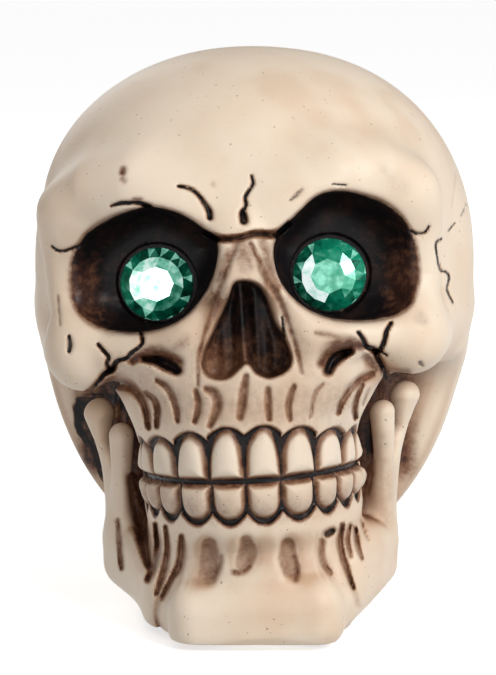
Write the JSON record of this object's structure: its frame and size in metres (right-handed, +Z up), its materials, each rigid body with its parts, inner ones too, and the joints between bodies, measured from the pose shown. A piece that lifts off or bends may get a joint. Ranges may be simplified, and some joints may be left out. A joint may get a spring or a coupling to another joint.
{
  "type": "skull decoration",
  "caption": "Hollow cast resin skull with faceted green gem eyes lit from behind, and a battery box with a hinged door and slide switch in its flat underside.",
  "frame": {"origin": "on the table under the middle of the skull's box, in the plane of the felt pads' undersides", "axes": "+Z up, the face looks along -Y, +X is the skull's own left"},
  "size_m": [0.1246, 0.1423, 0.1558],
  "materials": {
    "painted_resin": "cast resin, ivory paint with a dark brown wash in the recesses, satin",
    "green_gem": "polished faceted acrylic",
    "led_lens": "clear tinted epoxy",
    "glue": "hot-melt glue",
    "black_plastic": "moulded, fine texture",
    "knob_plastic": "moulded, ribbed",
    "plated_steel": "nickel plated",
    "cell_jacket": "printed film jacket, unlettered",
    "resistor_body": "lacquered",
    "red_wire": "wire insulation",
    "black_wire": "wire insulation",
    "felt": "pressed felt"
  },
  "bodies": {
    "skull": {"skull_casting": "painted_resin", "right_eye_gem": "green_gem", "left_eye_gem": "green_gem", "right_eye_led": "led_lens", "left_eye_led": "led_lens", "right_led_glue": "glue", "left_led_glue": "glue", "battery_box": "black_plastic", "box_screw_1": "plated_steel", "box_screw_2": "plated_steel", "box_screw_3": "plated_steel", "box_screw_4": "plated_steel", "battery_1": "cell_jacket", "battery_2": "cell_jacket", "positive_contact": "plated_steel", "negative_contact": "plated_steel", "bridge_contact": "plated_steel", "switch_body": "black_plastic", "switch_screw_1": "plated_steel", "switch_screw_2": "plated_steel", "resistor": "resistor_body", "switch_wire": "red_wire", "red_wire": "red_wire", "red_link": "red_wire", "black_wire": "black_wire", "black_link": "black_wire", "felt_pad_1": "felt", "felt_pad_2": "felt", "felt_pad_3": "felt", "felt_pad_4": "felt"},
    "battery_door": {"battery_door": "black_plastic", "battery_door_screw": "plated_steel"},
    "switch_knob": {"switch_knob": "knob_plastic"}
  },
  "joints": [
    {"name": "door_hinge", "type": "hinge", "parent": "skull", "child": "battery_door", "pos_m": [-0.0058, -0.0325, 0.0045], "axis": [-1, 0, 0], "range_deg": [0, 100]},
    {"name": "switch_slide", "type": "slide", "parent": "skull", "child": "switch_knob", "axis": [0, 1, 0], "range_m": [0, 0.0025]}
  ]
}
